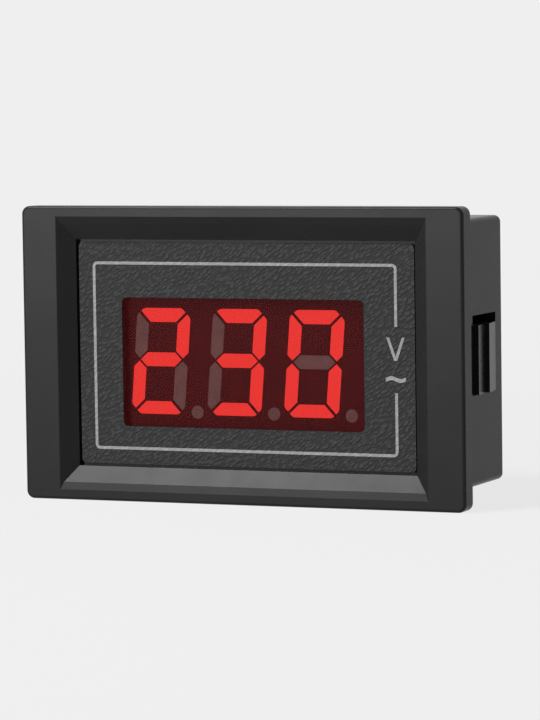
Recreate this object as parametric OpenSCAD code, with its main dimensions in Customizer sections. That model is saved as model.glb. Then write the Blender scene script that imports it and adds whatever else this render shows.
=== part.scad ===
// Digital panel meter: a three-digit LED voltmeter that snaps into a panel cut-out.
// X runs to the right of the display, Y to the rear and Z up. The origin is the
// centre of the bezel's rear face, which seats on the panel.

/* [Bezel] */
// Width of the front bezel
bezel_w = 64; // [62:0.5:70]
// Height of the front bezel
bezel_h = 40; // [39:0.5:44]
// Thickness of the bezel in front of the panel
bezel_t = 2.8; // [2.7:0.1:3.6]
// Radius of the bezel's corners
bezel_corner_r = 1.1; // [0.8:0.1:2.5]
// Rounding of the bezel's front edge
bezel_edge_r = 0.4; // [0.2:0.05:0.6]
// Flat band at the left and the right of the recess
side_band = 5.2; // [4.5:0.1:6]
// Flat band above and below the recess
top_band = 2.4; // [2:0.1:3]
// Width of the sloping sides of the recess
slope_run = 2.15; // [1.5:0.05:2.6]
// Radius of the lip where the left and right bands meet the slopes
lip_r = 0.3; // [0.1:0.1:1]
// Width of the bevel between the upper and lower bands and their slopes
bevel_w = 1; // [0.6:0.1:1.2]
// Depth of that bevel below the front of the bezel
bevel_d = 0.35; // [0.1:0.05:0.5]

/* [Case] */
// Width of the case behind the panel
case_w = 58; // [56:0.5:60]
// Height of the case behind the panel
case_h = 36; // [35:0.5:37]
// Depth of the case behind the panel
case_d = 20.3; // [20:0.1:26]
// Thickness of the case walls
wall = 1.5; // [1.2:0.1:1.8]
// Radius of the long edges of the case
case_corner_r = 0.9; // [0.6:0.1:1.5]
// Rounding of the rear edge of the case
case_edge_r = 0.35; // [0.2:0.05:0.6]

/* [Face plate] */
// Depth of the face plate below the front of the bezel
plate_depth = 1.75; // [1.2:0.05:1.8]
// Thickness of the face plate
plate_t = 0.8; // [0.5:0.05:0.9]
// Gap at the left, the top and the bottom of the face plate
plate_gap = 0.42; // [0.2:0.02:0.5]
// Gap at the right of the face plate
plate_gap_right = 0.14; // [0.1:0.02:0.5]
// Radius of the face plate's corners
plate_corner_r = 0.6; // [0.3:0.1:1.5]
// Height of the printed ink above the plate
ink_t = 0.06; // [0.04:0.01:0.1]
// Width of the printed frame line
line_w = 0.4; // [0.3:0.05:0.7]
// Margin from the plate's left and right edges to the middle of the line
line_margin_x = 2.46; // [1.8:0.02:3]
// Margin from the plate's top and bottom edges to the middle of the line
line_margin_z = 2.46; // [1.8:0.02:3]

/* [Window] */
// Width of the window
window_w = 35.2; // [34.5:0.1:37]
// Height of the window
window_h = 17.5; // [16:0.1:18.5]
// Radius of the window's corners
window_r = 0.7; // [0.3:0.1:1.2]
// Offset of the display from the middle, to the right
display_x = -0.3; // [-1:0.1:1]
// Offset of the display from the middle, upwards
display_z = -1.15; // [-1.5:0.05:0.5]

/* [Display] */
// Digit shown at the left
digit_left = 2; // [0:1:9]
// Digit shown in the middle
digit_middle = 3; // [0:1:9]
// Digit shown at the right
digit_right = 0; // [0:1:9]
// Height of a digit
digit_h = 14.35; // [12:0.05:15.5]
// Width of a digit, measured without its slant
digit_w = 7.9; // [6.5:0.1:8.4]
// Distance from one digit to the next
digit_pitch = 11.21; // [11:0.01:11.6]
// Slant of the digits in degrees
digit_slant = 4.6; // [0:0.1:10]
// Width of the upright bars
bar_v = 1.8; // [1.2:0.05:2.2]
// Width of the upper and the middle level bar
bar_h = 1.85; // [1.2:0.05:2.2]
// Width of the lowest level bar
bar_foot = 1.7; // [1.2:0.05:2.2]
// Gap between the middle bar and its neighbours
bar_gap = 0.28; // [0.15:0.01:0.5]
// Gap between two bars that meet at a corner
corner_gap = 0.4; // [0.15:0.01:0.5]
// Diameter of a decimal point
point_d = 1.75; // [1:0.05:2]
// Depth of the LED display's body
display_d = 8; // [7:0.1:8.5]

/* [Snap clips] */
// Distance from the rear end of a clip to the rear of the case
clip_end = 2.9; // [2.6:0.1:4]
// Height of a clip
clip_h = 9.3; // [7:0.1:11]
// Distance from the panel seat to the first tooth
clip_y = 9; // [8.5:0.1:9.5]
// Height of the middle of a clip above the middle of the case
clip_z = -0.9; // [-2:0.1:1]
// Number of ratchet teeth on a clip
clip_teeth = 2; // [1:1:4]
// Height of a ratchet tooth
tooth_h = 0.65; // [0.4:0.05:0.9]
// Free space above a clip
clip_top_gap = 1.3; // [0.8:0.1:2]
// Slot in front of and behind a clip
clip_slot = 0.3; // [0.2:0.05:0.4]
// Radius of the root that a clip swings on
root_r = 0.8; // [0.6:0.05:0.9]

/* [Circuit board] */
// Thickness of the circuit board
board_t = 1.6; // [1:0.1:1.8]
// Diameter of the electrolytic capacitor
smoothing_d = 6.3; // [5:0.1:6.8]
// Length of the electrolytic capacitor
smoothing_len = 11.2; // [9:0.1:12]
// Diameter of the surge varistor's disc
varistor_d = 7; // [5:0.1:7.4]

/* [Terminals] */
// Distance between the two terminal screws
pole_pitch = 8.5; // [8:0.1:9]
// Thickness of the block's barriers and walls
barrier = 1.4; // [1:0.1:1.7]
// Height of the block
block_h = 14.6; // [14.2:0.1:15.5]
// How far the block stands behind the rear cover
block_proud = 1.3; // [0.8:0.1:2.5]
// Diameter of the terminal screws' thread
thread_d = 2.9; // [2.4:0.1:3]
// Diameter of the terminal screws' heads
head_d = 5.6; // [5:0.1:5.8]
// Side of the square clamping washers
clamp_w = 6; // [5.9:0.1:6.4]

/* [Rear cover] */
// Thickness of the rear cover
cover_t = 1.5; // [1.3:0.1:2]
// Diameter of the cover screws
cover_screw_d = 2; // [1.6:0.1:2.2]

/* [Hidden] */
$fn = 48;
eps = 0.01;

// Depths along Y, from the front to the rear
front_y = -bezel_t;
plate_y = front_y + plate_depth;
floor_y = plate_y + plate_t;
flange_t = 0.35;
filter_back_y = floor_y + flange_t;
filter_gap = 0.05;
display_y = filter_back_y + filter_gap;
floor_back_y = floor_y + 1.4;
board_y = display_y + display_d;
board_back_y = board_y + board_t;
cover_y = case_d - cover_t;

// Recess in the bezel
recess_w = bezel_w - 2 * side_band;
recess_h = bezel_h - 2 * top_band;
floor_w = recess_w - 2 * slope_run;
floor_h = recess_h - 2 * slope_run;
slope_angle = atan2(plate_depth, slope_run);
plate_w = floor_w - plate_gap - plate_gap_right;
plate_x = (plate_gap - plate_gap_right) / 2;
plate_h = floor_h - 2 * plate_gap;

// Display behind the window
filter_gap_side = 0.05;
flange_side = 1.4;
seat_w = window_w + 2 * flange_side + 2 * filter_gap_side;
seat_h = window_h + 2 * flange_side + 2 * filter_gap_side;
display_clear = 0.15;
display_w = window_w + 1;
display_h = window_h + 1.5;
pocket_depth = 0.6;
pocket_clear = 0.04;
wide_cut = 1.35;
small_cut = 0.95;
cut_soft = 0.18;
middle_rise = 0.23;
digits_x = display_x - 1.22;
digits_z = display_z + 0.08;
point_x = 5.3;
pin_pitch = 2.54;
pin_rows = 15.24;
pins_a_row = 6;
pin_r = 0.25;

// Inside of the case
inner_w = case_w - 2 * wall;
inner_h = case_h - 2 * wall;
corner_post = 4.9;
post_x = inner_w / 2 - corner_post / 2;
post_z = inner_h / 2 - corner_post / 2;
thread_gap = 0.03;

// Snap clips: the root's seat lies in a boss on the inside of the case wall
root_gap = 0.06;
seat_skin = 0.8;
seat_r = root_r + root_gap;
clip_len = case_d - clip_end - clip_y;
root_x = case_w / 2 - seat_skin - seat_r;
clip_bottom = clip_z - clip_h / 2;
root_z = clip_bottom - 0.6 - root_r;
boss_x = root_x - seat_r - 0.8;
neck_t = 0.9;
clip_in_x = case_w / 2 - wall + 0.1;
clip_out_x = case_w / 2 + 0.1;
clip_foot_gap = 0.1;
swing_room = 0.35;

// Circuit board, clear of the clips' bosses and the corner posts
board_clear = 0.2;
past = 2;
board_w = 2 * (boss_x - board_clear);
board_h = inner_h - 1;
rib_x = post_x - corner_post / 2 - 2.5;
rib_z = inner_h / 2 - 2.1;
lead_r = 0.3;
hole_r = lead_r + 0.15;

// Terminal block
pocket_w = pole_pitch - barrier;
block_w = 2 * pole_pitch + barrier;
block_top_z = 2;
block_z = block_top_z - block_h / 2;
block_end_y = case_d + block_proud;
contact_t = 1;
contact_y = cover_y - 2.6;
contact_h = 6.8;
screw_z = block_top_z - barrier - 0.4 - clamp_w / 2;
clamp_t = 0.8;
clamp_y = contact_y + contact_t;
head_t = 1.9;
head_y = clamp_y + clamp_t;
tip_clear = 1.75;
screw_len = head_y - board_back_y - tip_clear;
thread_r = thread_d / 2;
bore_gap = 0.05;
leg_w = 1.2;
leg_t = 0.8;
leg_z = block_top_z - barrier - 0.3 - leg_t / 2;

// Parts on the rear of the board
axial_span = 10.2;
axial_gap = 0.6;
resistor_r = 1.2;
resistor_len = 6.4;
resistor_x = -block_w / 2 - axial_gap - resistor_r;
resistor_z = -5;
diode_r = 1.25;
diode_len = 5;
diode_pitch = 3;
diode_x = block_w / 2 + axial_gap + diode_r;
diode_z = -6;
chip_w = 7.5;
chip_h = 12.8;
chip_t = 2.3;
chip_leads = 10;
chip_pitch = 1.27;
chip_x = (resistor_x - resistor_r - board_w / 2) / 2;
chip_z = -3.6;
dropper_w = 13;
dropper_h = 11;
dropper_d = 6;
dropper_pitch = 10;
dropper_x = -7.5;
dropper_z = block_top_z + 1.2 + dropper_h / 2;
smoothing_x = 7.3;
smoothing_z = block_top_z + 3.3 + smoothing_d / 2;
smoothing_lead = 1.2;
smoothing_pitch = 2.5;
varistor_t = 3.2;
varistor_pitch = 5;
varistor_stand = 0.8;
varistor_x = varistor_d / 2 + 1.3 - board_w / 2;
varistor_lead_z = chip_z + chip_h / 2 + 0.7;
varistor_z = varistor_lead_z + 0.5 + varistor_d / 2;
trimmer_w = 6.6;
trimmer_edge = 1.9;
trimmer_x = board_w / 2 - trimmer_edge - trimmer_w / 2;
trimmer_z = 4.3;
trimmer_d = 4.8;
trimmer_leg_x = 2.5;
trimmer_leg_z = -2.2;
rotor_r = 1.9;
rotor_t = 1.2;
rotor_sunk = 0.9;
shaft_r = 0.8;

plastic = [0.15, 0.15, 0.155];

// ---------------------------------------------------------------- helpers

// Extrudes a shape drawn in X and Z from y0 towards the rear
module slab(y0, len) {
    translate([0, y0 + len, 0]) rotate([90, 0, 0]) linear_extrude(len) children();
}

// A round bar along Y
module bar_y(r, y0, len, x = 0, z = 0) {
    translate([x, y0 + len, z]) rotate([90, 0, 0]) cylinder(h = len, r = r);
}

module rounded_rect(w, h, r) {
    square([w, h - 2 * r], center = true);
    square([w - 2 * r, h], center = true);
    for (x = [-1, 1], z = [-1, 1]) translate([x * (w / 2 - r), z * (h / 2 - r)]) circle(r);
}

// A block with rounded corners and one rounded end at y = len, the other end at y = 0
module soft_block(w, h, len, r, edge) {
    hull()
        for (x = [-1, 1], z = [-1, 1])
            translate([x * (w / 2 - r), 0, z * (h / 2 - r)]) rotate([-90, 0, 0])
                for (a = [0 : 22.5 : 90])
                    cylinder(h = len - edge + edge * sin(a), r = r - edge + edge * cos(a), $fn = 32);
}

// Mirrored copies at the left and the right
module both_sides() {
    children();
    mirror([1, 0, 0]) children();
}

module at_corners(x, z) {
    for (sx = [-1, 1], sz = [-1, 1]) translate([sx * x, 0, sz * z]) children();
}

// ---------------------------------------------------------------- housing

// Half of the recess in section, at the left and right: the lip, the slope and the drop to the floor
function side_half(half) = let (lip = lip_r * tan(slope_angle / 2)) concat(
    [[half + lip, front_y - 1]],
    [for (a = [0 : slope_angle / 6 : slope_angle + eps])
        [half + lip - lip_r * sin(a), front_y + lip_r - lip_r * cos(a)]],
    [[half - slope_run, plate_y], [half - slope_run, floor_y]]);

// The same at the top and the bottom, where a flat bevel leads into the slope
function level_half(half) =
    [[half + bevel_w, front_y - 1], [half + bevel_w, front_y], [half, front_y + bevel_d],
     [half - slope_run, plate_y], [half - slope_run, floor_y]];

function mirrored(points) = [for (i = [len(points) - 1 : -1 : 0]) [-points[i][0], points[i][1]]];

module recess_section(side) {
    polygon(concat(side, mirrored(side)));
}

// The mitred recess: a section swept along Z met by one swept along X
module recess() {
    intersection() {
        translate([0, 0, -bezel_h]) linear_extrude(2 * bezel_h)
            recess_section(side_half(recess_w / 2));
        translate([-bezel_w, 0, 0]) rotate([90, 0, 90]) linear_extrude(2 * bezel_w)
            rotate(90) mirror([0, 1]) recess_section(level_half(recess_h / 2));
    }
}

// Window in the case wall, with the seat and the neck's way into it
module clip_window() {
    y0 = clip_y - clip_slot;
    len = clip_len + 2 * clip_slot;
    top = clip_z + clip_h / 2 + clip_top_gap;
    bottom = clip_bottom - clip_foot_gap;
    translate([case_w / 2 - wall - 1, y0, bottom]) cube([wall + 3, len, top - bottom]);
    bar_y(seat_r, y0, len, root_x, root_z);
    translate([root_x - neck_t / 2 - swing_room, y0, root_z])
        cube([neck_t + swing_room + clip_foot_gap, len, bottom - root_z + eps]);
}

module clip_boss() {
    y0 = clip_y - clip_slot - 1;
    z0 = root_z - seat_r - 0.8;
    top = root_z + seat_r + 0.25;
    translate([boss_x, y0, z0])
        cube([case_w / 2 - wall / 2 - boss_x, min(clip_len + 2 * clip_slot + 2, cover_y - y0), top - z0]);
}

module housing() color(plastic) {
    difference() {
        union() {
            rotate([0, 0, 180]) soft_block(bezel_w, bezel_h, bezel_t, bezel_corner_r, bezel_edge_r);
            translate([0, -bezel_t / 2, 0])
                soft_block(case_w, case_h, case_d + bezel_t / 2, case_corner_r, case_edge_r);
        }
        recess();
        translate([display_x, 0, display_z]) {
            slab(floor_y - eps, flange_t + eps) rounded_rect(seat_w, seat_h, window_r + flange_side);
            slab(floor_y, floor_back_y - floor_y + eps)
                square([display_w + 2 * display_clear, display_h + 2 * display_clear], center = true);
        }
        difference() {
            slab(floor_back_y, case_d) rounded_rect(inner_w, inner_h, 0.5);
            at_corners(post_x + 1, post_z + 1)
                slab(floor_back_y - 1, cover_y - floor_back_y + 1) square(corner_post + 2, center = true);
            at_corners(rib_x, rib_z + 2)
                slab(floor_back_y - 1, board_y - floor_back_y + 1) square([1.6, 4], center = true);
            both_sides() clip_boss();
        }
        at_corners(post_x, post_z)
            bar_y(cover_screw_d / 2 + thread_gap, cover_y - 9, 9 + eps);
        both_sides() clip_window();
    }
}

// ---------------------------------------------------------------- face

module face_plate() color([0.2, 0.2, 0.205]) {
    slab(plate_y, plate_t) difference() {
        translate([plate_x, 0]) rounded_rect(plate_w, plate_h, plate_corner_r);
        translate([display_x, display_z]) rounded_rect(window_w, window_h, window_r);
    }
}

// Printed frame, open at the right, where the unit and the wave sign stand in the gap
line_x = plate_w / 2 - line_margin_x;
line_z = plate_h / 2 - line_margin_z;
line_shift = -0.04;
line_drop = 0.32;
line_corner_r = 0.5;
sign_gap_top = 4.16;
sign_gap_bottom = 4.6;
sign_x = line_x - 0.07;
unit_w = 2.6;
unit_h = 3.1;
unit_z = 1.2;
unit_stroke = 0.38;
wave_w = 2.85;
wave_rise = 0.18;
wave_z = -2.79;
wave_stroke = 0.52;

module frame_line() {
    difference() {
        rounded_rect(2 * line_x + line_w, 2 * line_z + line_w, line_corner_r + line_w / 2);
        rounded_rect(2 * line_x - line_w, 2 * line_z - line_w, line_corner_r - line_w / 2);
        translate([line_x - line_w, -sign_gap_bottom + line_drop])
            square([2 * line_w, sign_gap_top + sign_gap_bottom]);
    }
}

module unit_sign() {
    half = unit_stroke / 2 / cos(atan2(unit_w / 2, unit_h));
    for (side = [-1, 1])
        polygon([[-half, -unit_h / 2], [half, -unit_h / 2],
                 [side * (unit_w / 2 - half) + half, unit_h / 2],
                 [side * (unit_w / 2 - half) - half, unit_h / 2]]);
}

module wave_sign() {
    steps = 18;
    line = [for (i = [0 : steps]) let (u = i / steps) [wave_w * (u - 0.5), wave_rise * sin(400 * u - 20)]];
    top = [for (p = line) [p[0], p[1] + wave_stroke / 2]];
    bottom = [for (i = [steps : -1 : 0]) [line[i][0], line[i][1] - wave_stroke / 2]];
    polygon(concat(top, bottom));
}

module printed_legend() color([0.62, 0.62, 0.62]) {
    slab(plate_y - ink_t, ink_t) translate([line_shift, -line_drop]) {
        frame_line();
        translate([sign_x, unit_z + line_drop]) unit_sign();
        translate([sign_x, wave_z + line_drop]) wave_sign();
    }
}

module window_filter() color([0.35, 0.03, 0.04]) {
    translate([display_x, 0, display_z]) {
        slab(plate_y, plate_t + flange_t)
            rounded_rect(window_w - 2 * filter_gap_side, window_h - 2 * filter_gap_side, window_r);
        slab(floor_y, flange_t)
            rounded_rect(window_w + 2 * flange_side, window_h + 2 * flange_side, window_r + flange_side);
    }
}

// ---------------------------------------------------------------- display

// Bars lit for each digit, named a to g as usual: a at the top, then clockwise, g in the middle
LIT_BARS = ["abcdef", "bc", "abdeg", "abcdg", "bcfg", "acdfg", "acdefg", "abc", "abcdefg", "abcdfg"];
BARS = "abcdefg";
shown = [digit_left, digit_middle, digit_right];

function is_lit(bar, digit) = len(search(bar, LIT_BARS[digit])) > 0;
function slanted(points) = [for (p = points) [p[0] + p[1] * tan(digit_slant), p[1]]];

// Points of a cut corner with softened ends, from the upright side to the level one
function cut_corner(x, z, c) = let (s = cut_soft, t = cut_soft * sqrt(0.5)) [
    [x, z - sign(z) * (c + s)], [x - sign(x) * t, z - sign(z) * (c - t)],
    [x - sign(x) * (c - t), z - sign(z) * t], [x - sign(x) * (c + s), z]];

function backwards(points) = [for (i = [len(points) - 1 : -1 : 0]) points[i]];

// A bar's outline without its slant, grown by grow on every side
function bar_points(bar, grow) = let (
    w = digit_w / 2, h = digit_h / 2,
    e = bar_gap / sqrt(2) - grow * 0.4, c = corner_gap / sqrt(2) - grow * 0.4,
    in_x = w - bar_v - grow, in_z = h - bar_h - grow, foot = h - bar_foot - grow,
    m = middle_rise, mh = bar_h / 2 + grow, tip = 0.75, far = bar_v + bar_h)
    bar == "a" ? [[-in_x + c, in_z], [-in_x + c - far, in_z + far],
                  [in_x - c + far, in_z + far], [in_x - c, in_z]] :
    bar == "d" ? [[-in_x + c, -foot], [in_x - c, -foot],
                  [in_x - c + far, -foot - far], [-in_x + c - far, -foot - far]] :
    bar == "g" ? [[-w + tip + e, m], [-in_x + e * 0.4, m + mh], [in_x - e * 0.4, m + mh],
                  [w - tip - e, m], [in_x - e * 0.4, m - mh], [-in_x + e * 0.4, m - mh]] :
    bar == "b" ? [[in_x, in_z - c], [in_x + far, in_z - c + far], [w + grow + 1, m + e + tip + 1],
                  [w - tip, m + e], [in_x, m + mh + e * 1.4]] :
    bar == "c" ? [[in_x, m - mh - e * 1.4], [w - tip, m - e], [w + grow + 1, m - e - tip - 1],
                  [in_x + far, -foot + c - far], [in_x, -foot + c]] :
    bar == "e" ? [[-in_x, m - mh - e * 1.4], [-in_x, -foot + c], [-in_x - far, -foot + c - far],
                  [-w - grow - 1, m - e - tip - 1], [-w + tip, m - e]] :
                 [[-in_x, in_z - c], [-in_x, m + mh + e * 1.4], [-w + tip, m + e],
                  [-w - grow - 1, m + e + tip + 1], [-in_x - far, in_z - c + far]];

module digit_outline(grow) {
    x = digit_w / 2 + grow;
    z = digit_h / 2 + grow;
    wide = wide_cut + 0.59 * grow;
    small = small_cut + 0.59 * grow;
    polygon(slanted(concat(cut_corner(x, z, wide), backwards(cut_corner(-x, z, small)),
                           cut_corner(-x, -z, wide), backwards(cut_corner(x, -z, small)))));
}

// The chosen bars of all three digits; lit picks the bright ones or the dark ones
module bars(lit, grow = 0) {
    for (i = [0 : 2])
        translate([digits_x + (i - 1) * digit_pitch, digits_z])
            for (bar = BARS)
                if (is_lit(bar, shown[i]) == lit)
                    intersection() {
                        digit_outline(grow);
                        polygon(slanted(bar_points(bar, grow)));
                    }
}

module points_2d(grow = 0) {
    for (i = [-1 : 1])
        translate([digits_x + i * digit_pitch + point_x, display_z - digit_h / 2 + point_d / 4])
            circle(point_d / 2 + grow);
}

module display_body() color([0.2, 0.05, 0.05]) {
    difference() {
        translate([display_x, 0, display_z])
            slab(display_y, display_d) square([display_w, display_h], center = true);
        slab(display_y - eps, pocket_depth + eps) {
            bars(true, pocket_clear);
            bars(false, pocket_clear);
            points_2d(pocket_clear);
        }
    }
}

module lit_segments() color([0.91, 0.2, 0.19]) {
    slab(display_y, pocket_depth) bars(true);
}

module unlit_segments() color([0.4, 0.28, 0.27]) {
    slab(display_y, pocket_depth) {
        bars(false);
        points_2d();
    }
}

module at_pins() {
    for (row = [-1, 1], i = [0 : pins_a_row - 1])
        translate([display_x + (i - (pins_a_row - 1) / 2) * pin_pitch, 0, display_z + row * pin_rows / 2])
            children();
}

module display_pins() color("silver") {
    at_pins() bar_y(pin_r, board_y, board_t);
}

// ---------------------------------------------------------------- circuit board

module at_leads() {
    for (z = [-1, 1] * axial_span / 2) {
        translate([resistor_x, 0, resistor_z + z]) children();
        for (i = [0 : 3]) translate([diode_x + i * diode_pitch, 0, diode_z + z]) children();
    }
    for (x = [-1, 1]) {
        translate([dropper_x + x * dropper_pitch / 2, 0, dropper_z]) children();
        translate([varistor_x + x * varistor_pitch / 2, 0, varistor_lead_z]) children();
        translate([smoothing_x - smoothing_len / 2 - smoothing_lead, 0,
                   smoothing_z + x * smoothing_pitch / 2]) children();
        translate([trimmer_x + x * trimmer_leg_x, 0, trimmer_z + trimmer_leg_z]) children();
    }
}

module at_board_corners() {
    for (x = [-1, 1], z = [-1, 1]) translate([x * (post_x + past), z * (post_z + past)]) children();
}

module main_board() color([0.05, 0.35, 0.2]) {
    difference() {
        slab(board_y, board_t) difference() {
            square([board_w, board_h], center = true);
            at_board_corners() square(corner_post + 2 * board_clear + 2 * past, center = true);
        }
        at_pins() bar_y(pin_r + 0.15, board_y - 1, board_t + 2);
        at_leads() bar_y(hole_r, board_y - 1, board_t + 2);
        for (x = [-1, 1])
            translate([x * pole_pitch / 2, 0, leg_z])
                slab(board_y - 1, board_t + 2) square([leg_w + 0.3, leg_t + 0.3], center = true);
    }
}

module driver_chip() color([0.08, 0.08, 0.09]) {
    stand = 0.2;
    lead_w = 0.4;
    lead_t = 0.25;
    knee = 0.45;
    knee_y = 1;
    translate([chip_x, board_back_y, chip_z]) {
        slab(stand, chip_t) square([chip_w, chip_h], center = true);
        both_sides()
            for (i = [0 : chip_leads - 1])
                translate([chip_w / 2, 0, (i - (chip_leads - 1) / 2) * chip_pitch - lead_w / 2]) {
                    translate([-0.2, knee_y, 0]) cube([knee + 0.2 + lead_t, lead_t, lead_w]);
                    translate([knee, 0, 0]) cube([lead_t, knee_y + lead_t / 2, lead_w]);
                    translate([knee, 0, 0]) cube([0.9, lead_t, lead_w]);
                }
    }
}

module dropper_capacitor() color([0.75, 0.6, 0.15]) {
    translate([dropper_x, 0, dropper_z]) {
        slab(board_back_y + 0.3, dropper_d) rounded_rect(dropper_w, dropper_h, 0.5);
        for (x = [-1, 1]) bar_y(lead_r, board_y, board_t + 0.5, x * dropper_pitch / 2);
    }
}

module smoothing_capacitor() color([0.1, 0.15, 0.4]) {
    end_x = smoothing_x - smoothing_len / 2;
    axis_y = board_back_y + smoothing_d / 2 + 0.1;
    difference() {
        translate([end_x, axis_y, smoothing_z]) rotate([0, 90, 0])
            cylinder(h = smoothing_len, r = smoothing_d / 2);
        translate([end_x + 1.6, axis_y, smoothing_z]) rotate([0, 90, 0])
            rotate_extrude() translate([smoothing_d / 2, 0]) circle(0.35, $fn = 24);
    }
    for (x = [-1, 1]) {
        lead_x = end_x - smoothing_lead;
        lead_z = smoothing_z + x * smoothing_pitch / 2;
        translate([lead_x, axis_y, lead_z]) {
            rotate([0, 90, 0]) cylinder(h = smoothing_lead + 0.1, r = lead_r);
            sphere(lead_r);
        }
        bar_y(lead_r, board_y, axis_y - board_y, lead_x, lead_z);
    }
}

// A disc that lies flat over the board, its leads bent down into the holes
module surge_varistor() color([0.1, 0.25, 0.6]) {
    axis_y = board_back_y + varistor_stand + varistor_t / 2;
    bar_y(varistor_d / 2, axis_y - varistor_t / 2, varistor_t, varistor_x, varistor_z);
    for (x = [-1, 1]) translate([varistor_x + x * varistor_pitch / 2, axis_y, varistor_lead_z]) {
        cylinder(h = varistor_z - varistor_lead_z, r = lead_r);
        sphere(lead_r);
        translate([0, -axis_y, 0]) bar_y(lead_r, board_y, axis_y - board_y);
    }
}

// An axial part lying along Z above the board, its leads bent down into the holes
module axial_part(x, z, r, len) {
    axis_y = board_back_y + r + 0.2;
    translate([x, axis_y, z]) {
        translate([0, 0, -len / 2]) cylinder(h = len, r = r);
        translate([0, 0, -axial_span / 2]) cylinder(h = axial_span, r = lead_r);
        for (end = [-1, 1]) translate([0, 0, end * axial_span / 2]) sphere(lead_r);
    }
    for (end = [-1, 1])
        bar_y(lead_r, board_y, axis_y - board_y, x, z + end * axial_span / 2);
}

module fusible_resistor() color([0.35, 0.6, 0.75]) {
    axial_part(resistor_x, resistor_z, resistor_r, resistor_len);
}

module rectifier_diodes() color([0.12, 0.12, 0.12]) {
    for (i = [0 : 3]) axial_part(diode_x + i * diode_pitch, diode_z, diode_r, diode_len);
}

module trimmer_body() color([0.1, 0.25, 0.65]) {
    rotor_y = board_back_y + trimmer_d - rotor_sunk;
    difference() {
        translate([trimmer_x, 0, trimmer_z])
            slab(board_back_y, trimmer_d) rounded_rect(trimmer_w, trimmer_w, 0.4);
        bar_y(rotor_r + 0.05, rotor_y, 2, trimmer_x, trimmer_z);
        bar_y(shaft_r + 0.05, rotor_y - 1.5, 2, trimmer_x, trimmer_z);
    }
    for (x = [-1, 1])
        bar_y(lead_r, board_y, board_t + 0.1, trimmer_x + x * trimmer_leg_x, trimmer_z + trimmer_leg_z);
}

module trimmer_rotor() color("white") {
    rotor_y = board_back_y + trimmer_d - rotor_sunk + 0.05;
    slot_y = rotor_y + rotor_t - 0.6;
    slot_w = 0.5;
    arm = 1.2;
    difference() {
        union() {
            bar_y(rotor_r, rotor_y, rotor_t, trimmer_x, trimmer_z);
            bar_y(shaft_r, rotor_y - 1.4, 1.5, trimmer_x, trimmer_z);
        }
        translate([trimmer_x - slot_w / 2, slot_y, trimmer_z - rotor_r - 1])
            cube([slot_w, 1, 2 * rotor_r + 2]);
        translate([trimmer_x - arm, slot_y, trimmer_z - slot_w / 2]) cube([2 * arm, 1, slot_w]);
    }
}

// ---------------------------------------------------------------- terminals

module terminal_block() color(plastic) {
    difference() {
        translate([0, 0, block_z])
            slab(board_back_y, block_end_y - board_back_y) rounded_rect(block_w, block_h, 0.4);
        for (pole = [-1, 1]) translate([pole * pole_pitch / 2, 0, 0]) {
            translate([0, 0, block_z])
                slab(contact_y, block_end_y) square([pocket_w, block_h - 2 * barrier], center = true);
            bar_y(thread_r + 0.3, head_y - screw_len - 0.5, screw_len, 0, screw_z);
            translate([0, 0, leg_z])
                slab(board_back_y - 1, contact_y - board_back_y + 2)
                    square([leg_w + 0.2, leg_t + 0.2], center = true);
        }
    }
}

module contact_plates() color([0.85, 0.7, 0.35]) {
    for (pole = [-1, 1]) translate([pole * pole_pitch / 2, 0, 0]) {
        difference() {
            translate([0, 0, block_top_z - barrier - 0.1 - contact_h / 2])
                slab(contact_y, contact_t) square([pocket_w - 0.3, contact_h], center = true);
            bar_y(thread_r + bore_gap, contact_y - 1, contact_t + 2, 0, screw_z);
        }
        translate([0, 0, leg_z])
            slab(board_y, contact_y - board_y + 0.1)
                square([leg_w, leg_t], center = true);
    }
}

// A square washer whose turned-down sides keep the wire under it
module clamp(side) {
    lip = 0.5;
    difference() {
        translate([side * pole_pitch / 2, 0, screw_z]) {
            slab(clamp_y, clamp_t) rounded_rect(clamp_w, clamp_w, 0.3);
            for (x = [-1, 1])
                translate([x * (clamp_w - lip) / 2, 0, 0])
                    slab(clamp_y, clamp_t + 0.5) square([lip, clamp_w - 1], center = true);
        }
        bar_y(thread_r + bore_gap, clamp_y - 1, clamp_t + 2, side * pole_pitch / 2, screw_z);
    }
}

module clamp_left() color("silver") clamp(-1);

module clamp_right() color("silver") clamp(1);

// A pan-head screw with a cross slot
module terminal_screw(side) {
    translate([side * pole_pitch / 2, 0, screw_z])
        difference() {
            union() {
                bar_y(thread_r, head_y - screw_len, screw_len + eps);
                translate([0, head_y, 0]) rotate([-90, 0, 0]) rotate_extrude()
                    intersection() {
                        translate([0, head_t - head_d]) circle(head_d, $fn = 96);
                        square([min(head_d, clamp_w - 1.2) / 2, head_t]);
                    }
            }
            for (turn = [0, 90]) rotate([0, turn, 0])
                translate([-1.5, head_y + head_t - 1.1, -0.35]) cube([3, 2, 0.7]);
        }
}

module screw_left() color("silver") terminal_screw(-1);

module screw_right() color("silver") terminal_screw(1);

// ---------------------------------------------------------------- rear cover

cover_clear = 0.15;
cover_head_r = 1.9;
cover_head_t = 1;
cover_screw_len = 8;

module rear_cover() color(plastic) {
    difference() {
        union() {
            slab(cover_y, cover_t) difference() {
                rounded_rect(inner_w - 2 * cover_clear, inner_h - 2 * cover_clear, 0.5);
                translate([0, block_z]) square([block_w + 0.4, block_h + 0.4], center = true);
            }
            at_corners(rib_x, rib_z + 0.3)
                bar_y(1.3, board_back_y, cover_y - board_back_y + eps);
        }
        at_corners(post_x, post_z) {
            bar_y(cover_screw_d / 2 + 0.15, cover_y - 1, cover_t + 2);
            bar_y(cover_head_r + 0.15, case_d - cover_head_t + 0.1, 2);
        }
        bar_y(1.5, cover_y - 1, cover_t + 2, trimmer_x, trimmer_z);
    }
}

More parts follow.
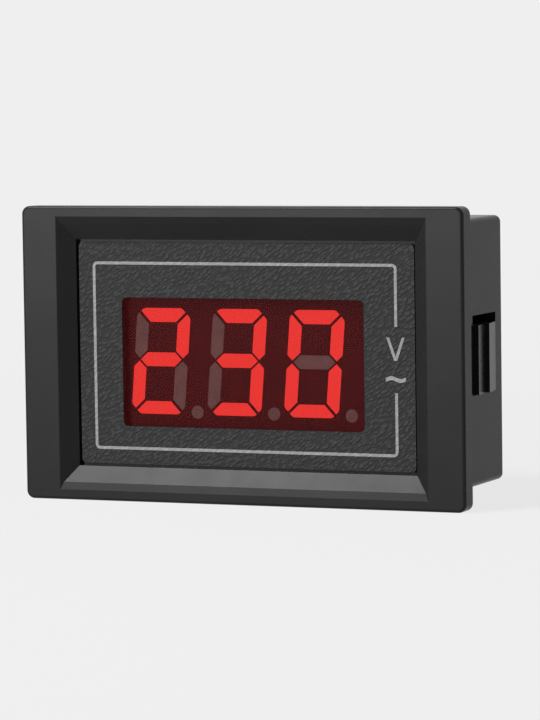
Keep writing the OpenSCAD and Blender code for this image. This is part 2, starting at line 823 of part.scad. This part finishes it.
module cover_screws() color("silver") {
    head_seat_y = case_d - cover_head_t + 0.1;
    at_corners(post_x, post_z)
        difference() {
            union() {
                bar_y(cover_head_r, head_seat_y, cover_head_t);
                bar_y(cover_screw_d / 2, head_seat_y - cover_screw_len, cover_screw_len + eps);
            }
            for (turn = [0, 90]) rotate([0, turn, 0])
                translate([-1.1, head_seat_y + cover_head_t - 0.6, -0.25]) cube([2.2, 1, 0.5]);
        }
}

// ---------------------------------------------------------------- snap clips

// Teeth in plan: steep towards the bezel, and running down towards the rear
function teeth_points() = let (pitch = clip_len / clip_teeth)
    [for (i = [0 : clip_teeth - 1], end = [0, 1])
        [clip_out_x + (end == 0 ? tooth_h : 0), clip_y + (i + end) * pitch]];

module clip() {
    translate([0, 0, clip_bottom]) linear_extrude(clip_h)
        polygon(concat([[clip_in_x, clip_y]], teeth_points(), [[clip_in_x, clip_y + clip_len]]));
    translate([root_x - neck_t / 2, clip_y, root_z]) cube([neck_t, clip_len, clip_bottom - root_z + 1]);
    bar_y(root_r, clip_y, clip_len, root_x, root_z);
}

module clip_right() color(plastic) clip();

module clip_left() color(plastic) mirror([1, 0, 0]) clip();

housing();
face_plate();
printed_legend();
window_filter();
display_body();
lit_segments();
unlit_segments();
display_pins();
main_board();
driver_chip();
dropper_capacitor();
smoothing_capacitor();
surge_varistor();
fusible_resistor();
rectifier_diodes();
trimmer_body();
trimmer_rotor();
terminal_block();
contact_plates();
clamp_left();
clamp_right();
screw_left();
screw_right();
rear_cover();
cover_screws();
clip_left();
clip_right();
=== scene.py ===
"""Digital panel meter: its dressed pieces, finishes and studio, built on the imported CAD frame."""

import math

import bpy
from bpy.props import FloatProperty, FloatVectorProperty, PointerProperty
from mathutils import Matrix, Vector


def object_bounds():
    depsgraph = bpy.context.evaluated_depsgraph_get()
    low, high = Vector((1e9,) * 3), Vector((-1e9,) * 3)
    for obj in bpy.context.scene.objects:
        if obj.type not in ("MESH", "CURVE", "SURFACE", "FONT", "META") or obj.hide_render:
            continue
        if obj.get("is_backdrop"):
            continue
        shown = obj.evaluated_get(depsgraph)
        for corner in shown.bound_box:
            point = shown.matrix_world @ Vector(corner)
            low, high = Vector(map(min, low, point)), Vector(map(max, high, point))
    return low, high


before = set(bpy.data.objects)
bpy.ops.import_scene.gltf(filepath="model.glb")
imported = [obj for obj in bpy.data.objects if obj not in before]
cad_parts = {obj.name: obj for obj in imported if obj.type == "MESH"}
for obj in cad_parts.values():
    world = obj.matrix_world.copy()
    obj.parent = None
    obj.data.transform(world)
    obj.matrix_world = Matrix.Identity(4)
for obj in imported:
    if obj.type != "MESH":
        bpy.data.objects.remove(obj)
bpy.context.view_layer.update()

bl_info = {
    "name": "Digital Panel Meter",
    "version": (1, 0, 0),
    "blender": (4, 5, 0),
    "location": "View3D > Sidebar > Panel Meter",
    "description": "Dresses the snap-in LED panel meter and sets up its studio",
    "category": "Object",
}

MM = 0.001
MICRON = 0.000001

# Width of the copper runs under the board's solder mask
COPPER_STEP = 1.6 * MM
FLOOR_RADIUS = 1.5
# Distances from the middle of the floor between which its shading fades out
SHADOW_FADE = (0.06, 0.3)
LAMP_DISTANCE = 1.0
# Each lamp's name, its setting for the power, its size, and its direction from the meter
LAMPS = (
    ("key lamp", "key_power", (0.27, 0.27), (-0.40, -0.91, 0.05)),
    ("top lamp", "top_power", (0.26, 0.26), (-0.40, -0.47, 0.79)),
    ("upper lamp", "upper_power", (0.26, 0.22), (-0.40, -0.78, 0.48)),
)
SENSOR = 36


# ---------------------------------------------------------------- settings


class PlasticSettings(bpy.types.PropertyGroup):
    """Black moulded plastic of the bezel, case, cover and clips"""

    colour: FloatVectorProperty(
        name="Colour", description="Colour of the moulded plastic",
        subtype="COLOR", size=3, min=0, max=1, default=(0.0135, 0.0137, 0.0145),
    )
    gloss: FloatProperty(
        name="Gloss", description="Strength of the plastic's sheen",
        subtype="FACTOR", min=0, max=1, default=0.07,
    )
    roughness: FloatProperty(
        name="Roughness", description="Mean roughness of the moulded skin",
        subtype="FACTOR", min=0, max=1, default=0.27,
    )
    block_colour: FloatVectorProperty(
        name="Terminal block", description="Colour of the terminal block",
        subtype="COLOR", size=3, min=0, max=1, default=(0.02, 0.021, 0.022),
    )


class PlateSettings(bpy.types.PropertyGroup):
    """Leather-grained face plate and its printed legend"""

    colour: FloatVectorProperty(
        name="Film", description="Colour of the grained film",
        subtype="COLOR", size=3, min=0, max=1, default=(0.0225, 0.0227, 0.0237),
    )
    ink: FloatVectorProperty(
        name="Ink", description="Colour of the printed frame and signs",
        subtype="COLOR", size=3, min=0, max=1, default=(0.235, 0.235, 0.238),
    )
    grain_pitch: FloatProperty(
        name="Grain pitch", description="Distance between neighbouring wrinkles",
        subtype="DISTANCE", unit="LENGTH", min=0.0001, max=0.002, default=0.00036,
    )
    grain_height: FloatProperty(
        name="Grain height", description="Height of a wrinkle above its foot",
        subtype="DISTANCE", unit="LENGTH", min=0, max=0.0002, default=0.00007,
    )
    grain_tilt: FloatProperty(
        name="Grain tilt", description="Rise of the wrinkles to the right",
        subtype="ANGLE", unit="ROTATION", min=0, max=math.pi, default=math.radians(38),
    )


class DisplaySettings(bpy.types.PropertyGroup):
    """Window and digits"""

    window: FloatVectorProperty(
        name="Window", description="Colour of the filter in the window",
        subtype="COLOR", size=3, min=0, max=1, default=(0.058, 0.0042, 0.0045),
    )
    window_haze: FloatProperty(
        name="Haze", description="Share of the filter's own colour over what lies behind it",
        subtype="FACTOR", min=0, max=1, default=0.33,
    )
    shell: FloatVectorProperty(
        name="Display body", description="Colour of the display's front",
        subtype="COLOR", size=3, min=0, max=1, default=(0.06, 0.004, 0.005),
    )
    lit: FloatVectorProperty(
        name="Lit bars", description="Light of the lit bars",
        subtype="COLOR", size=3, min=0, max=1, default=(0.9, 0.038, 0.032),
    )
    unlit: FloatVectorProperty(
        name="Unlit bars", description="Colour of the dark bars",
        subtype="COLOR", size=3, min=0, max=1, default=(0.25, 0.15, 0.14),
    )


class HardwareSettings(bpy.types.PropertyGroup):
    """Screws, clamps and contacts"""

    steel: FloatVectorProperty(
        name="Plated steel", description="Colour of the screws and clamps",
        subtype="COLOR", size=3, min=0, max=1, default=(0.56, 0.55, 0.52),
    )
    brass: FloatVectorProperty(
        name="Brass", description="Colour of the contact plates",
        subtype="COLOR", size=3, min=0, max=1, default=(0.62, 0.44, 0.17),
    )


class StageSettings(bpy.types.PropertyGroup):
    """Floor, lamps and camera"""

    paper: FloatProperty(
        name="Paper", description="Brightness of the floor and the background",
        subtype="FACTOR", min=0, max=1, default=0.863,
    )
    shadow: FloatProperty(
        name="Shadow", description="Share of the floor that takes the object's shadow",
        subtype="FACTOR", min=0, max=1, default=0.1,
    )
    fill: FloatProperty(
        name="Fill", description="Brightness of the surroundings as the light sees them",
        min=0, max=2, default=0.18,
    )
    key_power: FloatProperty(
        name="Key", description="Power of the lamp at the front left",
        subtype="POWER", unit="POWER", min=0, default=5.4,
    )
    top_power: FloatProperty(
        name="Top", description="Power of the lamp above",
        subtype="POWER", unit="POWER", min=0, default=8.0,
    )
    upper_power: FloatProperty(
        name="Upper", description="Power of the lamp between the front and the top ones",
        subtype="POWER", unit="POWER", min=0, default=2.5,
    )
    azimuth: FloatProperty(
        name="Azimuth", description="Camera's turn to the right of the display's axis",
        subtype="ANGLE", unit="ROTATION", default=math.radians(23.15),
    )
    elevation: FloatProperty(
        name="Elevation", description="Camera's angle above the level",
        subtype="ANGLE", unit="ROTATION", default=math.radians(4.453),
    )
    roll: FloatProperty(
        name="Roll", description="Camera's turn about its own axis",
        subtype="ANGLE", unit="ROTATION", default=math.radians(-0.805),
    )
    eye: FloatVectorProperty(
        name="Eye", description="Place of the camera",
        subtype="TRANSLATION", size=3, default=(0.204229, -0.469791, 0.039169),
    )
    lens: FloatProperty(
        name="Lens", description="Focal length in millimetres on a 36 mm sensor",
        min=20, max=400, default=191.74,
    )


def settings():
    """The settings of this scene's panel meter."""
    return bpy.context.scene.panel_meter


class MeterSettings(bpy.types.PropertyGroup):
    """All settings of the panel meter"""

    plastic: PointerProperty(type=PlasticSettings, name="Plastic", description="Moulded plastic")
    plate: PointerProperty(type=PlateSettings, name="Face plate", description="Film and legend")
    display: PointerProperty(type=DisplaySettings, name="Display", description="Window and digits")
    hardware: PointerProperty(type=HardwareSettings, name="Hardware", description="Metal parts")
    stage: PointerProperty(type=StageSettings, name="Stage", description="Floor, lamps, camera")


# ---------------------------------------------------------------- finishes


class Finish:
    """A material under construction: its node tree, its shader and its object coordinates."""

    def __init__(self, name, colour, roughness, **plain):
        self.material = bpy.data.materials.new(name)
        self.material.use_nodes = True
        self.material.diffuse_color = (*colour, 1)
        self.tree = self.material.node_tree
        self.shader = self.tree.nodes["Principled BSDF"]
        self.set("Base Color", (*colour, 1))
        self.set("Roughness", roughness)
        for socket, value in plain.items():
            self.set(socket.replace("_", " "), value)
        self.coordinates = self.tree.nodes.new("ShaderNodeTexCoord").outputs["Object"]

    def set(self, socket, value):
        """A plain value on one of the shader's own sockets."""
        self.shader.inputs[socket].default_value = value

    def node(self, kind, links=None, **values):
        """A new node; links go into its sockets, values onto its properties."""
        made = self.tree.nodes.new(kind)
        for key, value in values.items():
            setattr(made, key, value)
        for socket, source in (links or {}).items():
            if isinstance(source, bpy.types.NodeSocket):
                self.tree.links.new(source, made.inputs[socket])
            else:
                made.inputs[socket].default_value = source
        return made

    def turned(self, angle=0.0, stretch=(1, 1, 1)):
        """Object coordinates turned about the depth axis, then stretched."""
        spin = self.node("ShaderNodeMapping", {
            "Vector": self.coordinates, "Rotation": (0, angle, 0)})
        return self.node("ShaderNodeMapping", {
            "Vector": spin.outputs["Vector"], "Scale": stretch}).outputs["Vector"]

    def noise(self, size, detail=3.0, rough=0.5, warp=0.0, vector=None):
        """Cloudy pattern whose patches are about size metres across."""
        return self.node("ShaderNodeTexNoise", {
            "Vector": vector or self.coordinates, "Scale": 1 / size, "Detail": detail,
            "Roughness": rough, "Distortion": warp}).outputs["Fac"]

    def cells(self, size, vector, smooth):
        """Soft cellular pattern whose cells are about size metres across."""
        pattern = self.node("ShaderNodeTexVoronoi", feature="SMOOTH_F1")
        pattern.inputs["Scale"].default_value = 1 / size
        pattern.inputs["Smoothness"].default_value = smooth
        self.tree.links.new(vector, pattern.inputs["Vector"])
        return pattern.outputs["Distance"]

    def spread(self, source, low, high, start=0.3, end=0.7):
        """The pattern's values from start to end, spread over low to high."""
        return self.node("ShaderNodeMapRange", {
            "Value": source, "From Min": start, "From Max": end, "To Min": low,
            "To Max": high}, interpolation_type="SMOOTHSTEP").outputs["Result"]

    def sum(self, a, b, share=1.0):
        """a plus share times b."""
        return self.node("ShaderNodeMath", {0: b, 1: share, 2: a},
                         operation="MULTIPLY_ADD").outputs["Value"]

    def tint(self, factor, dark, light):
        """Colour of the shader between dark and light, by the factor's pattern."""
        mix = self.node("ShaderNodeMix", {"Factor": factor}, data_type="RGBA")
        mix.inputs["A"].default_value = (*dark, 1)
        mix.inputs["B"].default_value = (*light, 1)
        self.tree.links.new(mix.outputs["Result"], self.shader.inputs["Base Color"])

    def vary_roughness(self, source, low, high, start=0.3, end=0.7):
        """Roughness between low and high, by the pattern."""
        self.tree.links.new(self.spread(source, low, high, start, end),
                            self.shader.inputs["Roughness"])

    def relief(self, source, depth, strength=1.0):
        """Bump of the given depth in metres."""
        bump = self.node("ShaderNodeBump", {
            "Height": source, "Distance": depth, "Strength": strength})
        self.tree.links.new(bump.outputs["Normal"], self.shader.inputs["Normal"])


def scaled(colour, share):
    """The colour made darker or lighter."""
    return tuple(min(1.0, c * share) for c in colour)


def moulded_plastic(name, colour, gloss, roughness, grain=0.2 * MM):
    """Satin moulded plastic: faint flow marks, an even fine grain and a mottled sheen."""
    finish = Finish(name, colour, roughness, Specular_IOR_Level=gloss)
    flow = finish.noise(0.012, 2, 0.5, 0.6, finish.turned(0.2, (0.35, 1, 1)))
    finish.tint(finish.spread(flow, 0, 1), scaled(colour, 0.94), scaled(colour, 1.07))
    skin = finish.noise(grain, 4, 0.6)
    cloud = finish.noise(4 * MM, 3)
    finish.vary_roughness(finish.sum(cloud, skin, 0.5), roughness - 0.015, roughness + 0.015,
                          0.5, 1)
    finish.relief(finish.sum(skin, flow, 0.3), 3 * MICRON, 0.6)
    return finish.material


def wrinkled(finish, plate):
    """Height of the leather grain: short wrinkles that rise to the right, broken by pores."""
    pitch = plate.grain_pitch
    along = finish.turned(plate.grain_tilt, (0.45, 1, 1))
    warped = finish.node("ShaderNodeTexNoise", {
        "Vector": finish.coordinates, "Scale": 0.7 / pitch, "Detail": 2.0}).outputs["Color"]
    bent = finish.node("ShaderNodeVectorMath", {0: warped, 1: (0.6 * pitch,) * 3, 2: along},
                       operation="MULTIPLY_ADD").outputs["Vector"]
    folds = finish.cells(pitch, bent, 0.35)
    ridges = finish.spread(folds, 1, 0, 0.1, 0.75)
    fine = finish.noise(pitch * 0.4, 3, 0.6)
    return finish.sum(ridges, fine, 0.35)


def grained_film():
    """Black film with a leather grain; its colour is painted darker in the creases between the
    wrinkles and lighter on their tops, as painted shade and painted highlight.
    """
    plate = settings().plate
    finish = Finish("grained film", plate.colour, 0.42, Specular_IOR_Level=0.12)
    grain = wrinkled(finish, plate)
    # painted shade and highlight: the film's colour follows the grain's height, darker in the
    # creases and lighter on the wrinkle tops
    finish.tint(finish.spread(grain, 0, 1, 0.2, 1.2), scaled(plate.colour, 0.7),
                scaled(plate.colour, 1.3))
    finish.vary_roughness(grain, 0.5, 0.36, 0.2, 1.2)
    finish.relief(grain, plate.grain_height)
    return finish.material


def legend_ink():
    """Pale grey ink that lies over the grain, painted darker in the grain's creases and lighter on
    its ridges as painted shade and painted highlight.
    """
    plate = settings().plate
    finish = Finish("legend ink", plate.ink, 0.55, Specular_IOR_Level=0.2)
    grain = wrinkled(finish, plate)
    # painted shade and highlight: the ink's colour follows the grain's height, darker in the
    # creases and lighter on the ridges
    finish.tint(finish.spread(grain, 0, 1, 0.2, 1.2), scaled(plate.ink, 0.86),
                scaled(plate.ink, 1.1))
    finish.relief(grain, plate.grain_height * 0.6)
    return finish.material


def red_filter():
    """Deep red clear filter with a matt, almost mirror-free front."""
    display = settings().display
    finish = Finish("red filter", display.window, 0.3, Specular_IOR_Level=0.01,
                    Alpha=display.window_haze)
    finish.vary_roughness(finish.noise(3 * MM, 3), 0.26, 0.36)
    finish.relief(finish.noise(0.4 * MM, 3), MICRON, 0.3)
    return finish.material


def display_shell():
    """Dark red lacquer of the display's front, over its moulded body."""
    colour = settings().display.shell
    finish = Finish("display shell", colour, 0.5, Specular_IOR_Level=0.1)
    cloud = finish.noise(3 * MM, 3)
    finish.tint(finish.spread(cloud, 0, 1), scaled(colour, 0.85), scaled(colour, 1.15))
    finish.relief(finish.noise(0.3 * MM, 3), 2 * MICRON, 0.4)
    return finish.material


def lit_epoxy():
    """Diffusing epoxy of a lit bar, which glows evenly."""
    colour = settings().display.lit
    finish = Finish("lit epoxy", scaled(colour, 0.25), 0.45, Specular_IOR_Level=0.1,
                    Emission_Color=(*colour, 1), Emission_Strength=1.7)
    finish.vary_roughness(finish.noise(0.8 * MM, 3), 0.4, 0.52)
    finish.relief(finish.noise(0.4 * MM, 3), 2 * MICRON, 0.4)
    return finish.material


def dark_epoxy():
    """The same epoxy in a bar that is off, milky brown."""
    colour = settings().display.unlit
    finish = Finish("dark epoxy", colour, 0.45, Specular_IOR_Level=0.1)
    cloud = finish.noise(1.6 * MM, 3)
    finish.tint(finish.spread(cloud, 0, 1), scaled(colour, 0.9), scaled(colour, 1.1))
    finish.relief(finish.noise(0.4 * MM, 3), 2 * MICRON, 0.4)
    return finish.material


def metal(name, colour, roughness, brushed=False):
    """Bare or plated metal with fine scuffs, or with brush marks."""
    finish = Finish(name, colour, roughness, Metallic=1.0)
    scuffs = finish.noise(0.5 * MM, 5, 0.65)
    stain = finish.noise(2.5 * MM, 3)
    finish.tint(finish.spread(stain, 0, 1), scaled(colour, 0.8), scaled(colour, 1.08))
    finish.vary_roughness(scuffs, roughness - 0.09, roughness + 0.14)
    marks = scuffs
    if brushed:
        marks = finish.noise(0.08 * MM, 3, 0.6, 0, finish.turned(0, (0.06, 1, 1)))
    finish.relief(marks, 2 * MICRON, 0.5)
    return finish.material


def coated(name, colour, roughness, gloss=0.4, speck=0.6 * MM):
    """Dipped or potted part: a smooth coat with slight waves and specks."""
    finish = Finish(name, colour, roughness, Specular_IOR_Level=gloss)
    waves = finish.noise(speck * 4, 2)
    specks = finish.noise(speck, 4, 0.6)
    finish.tint(finish.spread(specks, 0, 1), scaled(colour, 0.86), scaled(colour, 1.12))
    finish.vary_roughness(waves, roughness - 0.06, roughness + 0.1)
    finish.relief(finish.sum(waves, specks, 0.2), 12 * MICRON, 0.5)
    return finish.material


def board_laminate():
    """Green solder mask over glass cloth, with paler runs where copper lies under it."""
    green = (0.012, 0.115, 0.05)
    finish = Finish("board laminate", green, 0.32, Specular_IOR_Level=0.45)
    step = finish.node("ShaderNodeVectorMath", {
        0: finish.coordinates, 1: (COPPER_STEP,) * 3}, operation="SNAP")
    runs = finish.node("ShaderNodeTexNoise", {
        "Vector": step.outputs["Vector"], "Scale": 160.0, "Detail": 1.0}).outputs["Fac"]
    weave = finish.noise(0.5 * MM, 2, 0.5, 0, finish.turned(math.radians(45)))
    copper = finish.spread(runs, 0, 1, 0.5, 0.54)
    finish.tint(copper, scaled(green, 0.8), scaled(green, 1.6))
    finish.vary_roughness(weave, 0.26, 0.4)
    finish.relief(finish.sum(copper, weave, 0.4), 25 * MICRON, 0.6)
    return finish.material


def dress(node, material):
    """Puts the material into every slot of a CAD node."""
    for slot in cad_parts[node].material_slots:
        slot.material = material


# ---------------------------------------------------------------- new objects, such as the floor sheet


def deselect_all():
    """Leaves no object of the scene selected."""
    for thing in bpy.context.selected_objects:
        thing.select_set(False)


def begin(name, primitive, **options):
    """A new object that starts from a primitive."""
    deselect_all()
    primitive(**options)
    piece = bpy.context.object
    piece.name = piece.data.name = name
    return piece


def settle(piece):
    """Leaves the piece's place in its mesh, with its object at the origin."""
    deselect_all()
    piece.select_set(True)
    bpy.context.view_layer.objects.active = piece
    bpy.ops.object.transform_apply(location=True, rotation=True, scale=True)


# ---------------------------------------------------------------- operators


class DressPlastic(bpy.types.Operator):
    """Gives the bezel and case, the rear cover, the clips and the terminal block their finish"""

    bl_idname = "panel_meter.dress_plastic"
    bl_label = "Moulded plastic"

    def execute(self, context):
        plastic = settings().plastic
        black = moulded_plastic("moulded plastic", plastic.colour, plastic.gloss,
                                plastic.roughness)
        for node in ("housing", "rear_cover", "clip_left", "clip_right"):
            dress(node, black)
        dress("terminal_block", moulded_plastic(
            "terminal plastic", plastic.block_colour, 0.3, 0.4, 0.15 * MM))
        return {"FINISHED"}


class DressPlate(bpy.types.Operator):
    """Gives the face plate its leather-grained film and the legend its ink"""

    bl_idname = "panel_meter.dress_plate"
    bl_label = "Face plate and legend"

    def execute(self, context):
        dress("face_plate", grained_film())
        dress("printed_legend", legend_ink())
        return {"FINISHED"}


class DressDisplay(bpy.types.Operator):
    """Gives the window, the display and its bars their finish"""

    bl_idname = "panel_meter.dress_display"
    bl_label = "Window and digits"

    def execute(self, context):
        dress("window_filter", red_filter())
        dress("display_body", display_shell())
        dress("lit_segments", lit_epoxy())
        dress("unlit_segments", dark_epoxy())
        return {"FINISHED"}


class DressBoard(bpy.types.Operator):
    """Gives the circuit board and the parts on it their finish"""

    bl_idname = "panel_meter.dress_board"
    bl_label = "Board and its parts"

    def execute(self, context):
        dress("main_board", board_laminate())
        dress("display_pins", metal("tinned wire", (0.6, 0.6, 0.58), 0.32))
        dress("driver_chip", coated("chip resin", (0.02, 0.02, 0.021), 0.5, 0.3, 0.3 * MM))
        dress("dropper_capacitor", coated("film box", (0.55, 0.3, 0.04), 0.4))
        dress("smoothing_capacitor", coated("capacitor sleeve", (0.012, 0.02, 0.09), 0.3, 0.5))
        dress("surge_varistor", coated("varistor coat", (0.02, 0.07, 0.3), 0.35, 0.5))
        dress("fusible_resistor", coated("resistor coat", (0.1, 0.3, 0.4), 0.45))
        dress("rectifier_diodes", coated("diode resin", (0.022, 0.022, 0.022), 0.42, 0.4))
        dress("trimmer_body", coated("trimmer shell", (0.015, 0.05, 0.33), 0.4, 0.4))
        dress("trimmer_rotor", coated("rotor nylon", (0.72, 0.7, 0.64), 0.42, 0.4, 0.3 * MM))
        return {"FINISHED"}


class DressContacts(bpy.types.Operator):
    """Gives the contact plates their brass, and the clamps and screws their plating"""

    bl_idname = "panel_meter.dress_contacts"
    bl_label = "Contacts, clamps and screws"

    def execute(self, context):
        hardware = settings().hardware
        dress("contact_plates", metal("contact brass", hardware.brass, 0.3, brushed=True))
        steel = metal("plated steel", hardware.steel, 0.3)
        for node in ("clamp_left", "clamp_right", "screw_left", "screw_right", "cover_screws"):
            dress(node, steel)
        return {"FINISHED"}


class BuildStage(bpy.types.Operator):
    """Sets up the floor, the surroundings, the lamps and the camera"""

    bl_idname = "panel_meter.build_stage"
    bl_label = "Stage"

    def execute(self, context):
        stage = settings().stage
        context.scene.view_settings.view_transform = "Standard"
        self.surroundings(stage)
        self.floor(stage)
        low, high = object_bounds()
        centre = (Vector(low) + Vector(high)) / 2
        for name, power, size, direction in LAMPS:
            self.lamp(name, getattr(stage, power), size, centre, Vector(direction))
        self.camera(stage)
        return {"FINISHED"}

    def surroundings(self, stage):
        """A world that is pale behind the object and in its reflections, and dimmer as light."""
        world = bpy.data.worlds.new("surroundings")
        world.use_nodes = True
        tree = world.node_tree
        sky = tree.nodes["Background"]
        path = tree.nodes.new("ShaderNodeLightPath")
        seen = tree.nodes.new("ShaderNodeMath")
        seen.operation = "ADD"
        also = tree.nodes.new("ShaderNodeMath")
        also.operation = "ADD"
        also.use_clamp = True
        level = tree.nodes.new("ShaderNodeMapRange")
        level.inputs["To Min"].default_value = stage.fill
        level.inputs["To Max"].default_value = stage.paper
        tree.links.new(path.outputs["Is Camera Ray"], seen.inputs[0])
        tree.links.new(path.outputs["Is Glossy Ray"], seen.inputs[1])
        tree.links.new(seen.outputs[0], also.inputs[0])
        tree.links.new(path.outputs["Is Transmission Ray"], also.inputs[1])
        tree.links.new(also.outputs[0], level.inputs["Value"])
        tree.links.new(level.outputs["Result"], sky.inputs["Strength"])
        sky.inputs["Color"].default_value = (1, 1, 1, 1)
        bpy.context.scene.world = world

    def floor(self, stage):
        """A round sheet of pale paper under the object, which melts into the background."""
        low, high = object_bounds()
        floor = begin("floor", bpy.ops.mesh.primitive_circle_add, vertices=96, radius=FLOOR_RADIUS,
                      fill_type="NGON", location=(0, 0, low[2]))
        settle(floor)
        finish = Finish("paper floor", (stage.paper,) * 3, 0.9, Specular_IOR_Level=0.0)
        tree = finish.tree
        path = tree.nodes.new("ShaderNodeLightPath")
        glow = finish.node("ShaderNodeEmission", {"Color": (stage.paper,) * 3 + (1,),
                                                  "Strength": 1.0})
        seen = finish.node("ShaderNodeMath", {0: path.outputs["Is Camera Ray"],
                                              1: path.outputs["Is Glossy Ray"]},
                           operation="ADD")
        seen = finish.node("ShaderNodeMath", {0: seen.outputs[0],
                                              1: path.outputs["Is Transmission Ray"]},
                           operation="ADD", use_clamp=True)
        far = finish.node("ShaderNodeVectorMath", {0: finish.coordinates}, operation="LENGTH")
        fade = finish.spread(far.outputs["Value"], 1 - stage.shadow, 1.0, *SHADOW_FADE)
        share = finish.node("ShaderNodeMath", {0: seen.outputs[0], 1: fade},
                            operation="MULTIPLY")
        mix = finish.node("ShaderNodeMixShader", {
            0: share.outputs[0], 1: finish.shader.outputs[0], 2: glow.outputs[0]})
        tree.links.new(mix.outputs[0], tree.nodes["Material Output"].inputs["Surface"])
        floor.data.materials.append(finish.material)
        floor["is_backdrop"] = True

    def lamp(self, name, power, size, centre, direction):
        """A soft box that faces the object."""
        light = bpy.data.lights.new(name, "AREA")
        light.shape = "RECTANGLE"
        light.size, light.size_y = size
        light.energy = power
        holder = bpy.data.objects.new(name, light)
        bpy.context.scene.collection.objects.link(holder)
        holder.location = centre + direction.normalized() * LAMP_DISTANCE
        holder.rotation_euler = (-direction).to_track_quat("-Z", "Y").to_euler()

    def camera(self, stage):
        """A long lens at the right, a little above the object."""
        turn, rise, roll = stage.azimuth, stage.elevation, stage.roll
        ahead = Vector((-math.sin(turn) * math.cos(rise), math.cos(turn) * math.cos(rise),
                        -math.sin(rise)))
        right = Vector((math.cos(turn), math.sin(turn), 0))
        up = right.cross(ahead)
        side = right * math.cos(roll) + up * math.sin(roll)
        top = up * math.cos(roll) - right * math.sin(roll)
        data = bpy.data.cameras.new("camera")
        data.lens = stage.lens
        data.sensor_width = data.sensor_height = SENSOR
        data.clip_start, data.clip_end = 0.05, 50
        holder = bpy.data.objects.new("camera", data)
        bpy.context.scene.collection.objects.link(holder)
        holder.matrix_world = Matrix.Translation(stage.eye) @ Matrix(
            (side, top, -ahead)).transposed().to_4x4()
        bpy.context.scene.camera = holder


PIECES = (DressPlastic, DressPlate, DressDisplay, DressBoard, DressContacts, BuildStage)


class PanelMeterPanel(bpy.types.Panel):
    """Buttons and settings of the panel meter"""

    bl_idname = "VIEW3D_PT_panel_meter"
    bl_label = "Panel Meter"
    bl_space_type = "VIEW_3D"
    bl_region_type = "UI"
    bl_category = "Panel Meter"

    def draw(self, context):
        meter = context.scene.panel_meter
        for group in (meter.plastic, meter.plate, meter.display, meter.hardware, meter.stage):
            box = self.layout.box()
            for key in group.bl_rna.properties.keys():
                if key not in ("name", "rna_type"):
                    box.prop(group, key)
        for piece in PIECES:
            self.layout.operator(piece.bl_idname)


CLASSES = (PlasticSettings, PlateSettings, DisplaySettings, HardwareSettings, StageSettings,
           MeterSettings, *PIECES, PanelMeterPanel)


def register():
    """Registers the classes and the settings."""
    for item in CLASSES:
        bpy.utils.register_class(item)
    bpy.types.Scene.panel_meter = PointerProperty(type=MeterSettings)


def unregister():
    """Removes them again."""
    del bpy.types.Scene.panel_meter
    for item in reversed(CLASSES):
        bpy.utils.unregister_class(item)


def main():
    """Makes the dressed meter and its studio."""
    register()
    bpy.ops.panel_meter.dress_plastic()
    bpy.ops.panel_meter.dress_plate()
    bpy.ops.panel_meter.dress_display()
    bpy.ops.panel_meter.dress_board()
    bpy.ops.panel_meter.dress_contacts()
    bpy.ops.panel_meter.build_stage()


if __name__ == "__main__":
    main()
